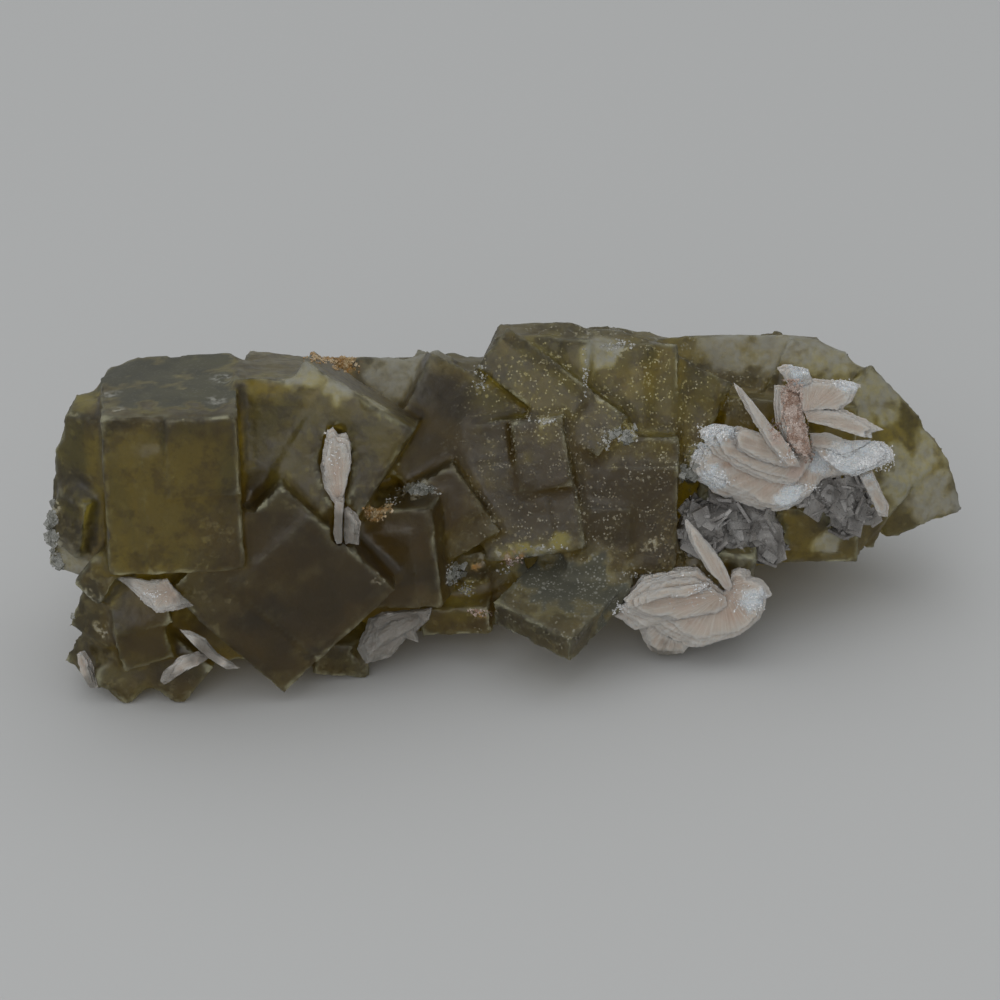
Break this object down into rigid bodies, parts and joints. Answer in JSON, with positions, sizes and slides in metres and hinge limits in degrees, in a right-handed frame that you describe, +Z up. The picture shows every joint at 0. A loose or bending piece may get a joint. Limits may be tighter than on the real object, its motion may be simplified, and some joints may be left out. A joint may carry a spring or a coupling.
{
  "type": "fluorite specimen with bladed barite",
  "caption": "Loose mineral specimen: sprays of pale pink bladed barite on a bar-shaped mass of intergrown olive-green fluorite cubes, with patches of grey druse.",
  "frame": {"origin": "on the surface that the specimen rests on, under the middle of its bounding box", "axes": "+X along the specimen's length to the right as seen from its display side, -Y towards the viewer, +Z up"},
  "size_m": [0.0944, 0.044, 0.0346],
  "materials": {
    "fluorite": "translucent, satin",
    "barite": "translucent, vitreous",
    "grey_druse": "granular, matte"
  },
  "bodies": {
    "root": {"fluorite_matrix": "fluorite", "barite_upper_spray": "barite", "barite_lower_spray": "barite", "barite_left_spray": "barite", "barite_left_blade": "barite", "barite_low_left_spray": "barite", "barite_foot_blade": "barite", "barite_under_spray": "barite", "grey_druse_middle": "grey_druse", "grey_druse_right": "grey_druse"}
  },
  "joints": []
}
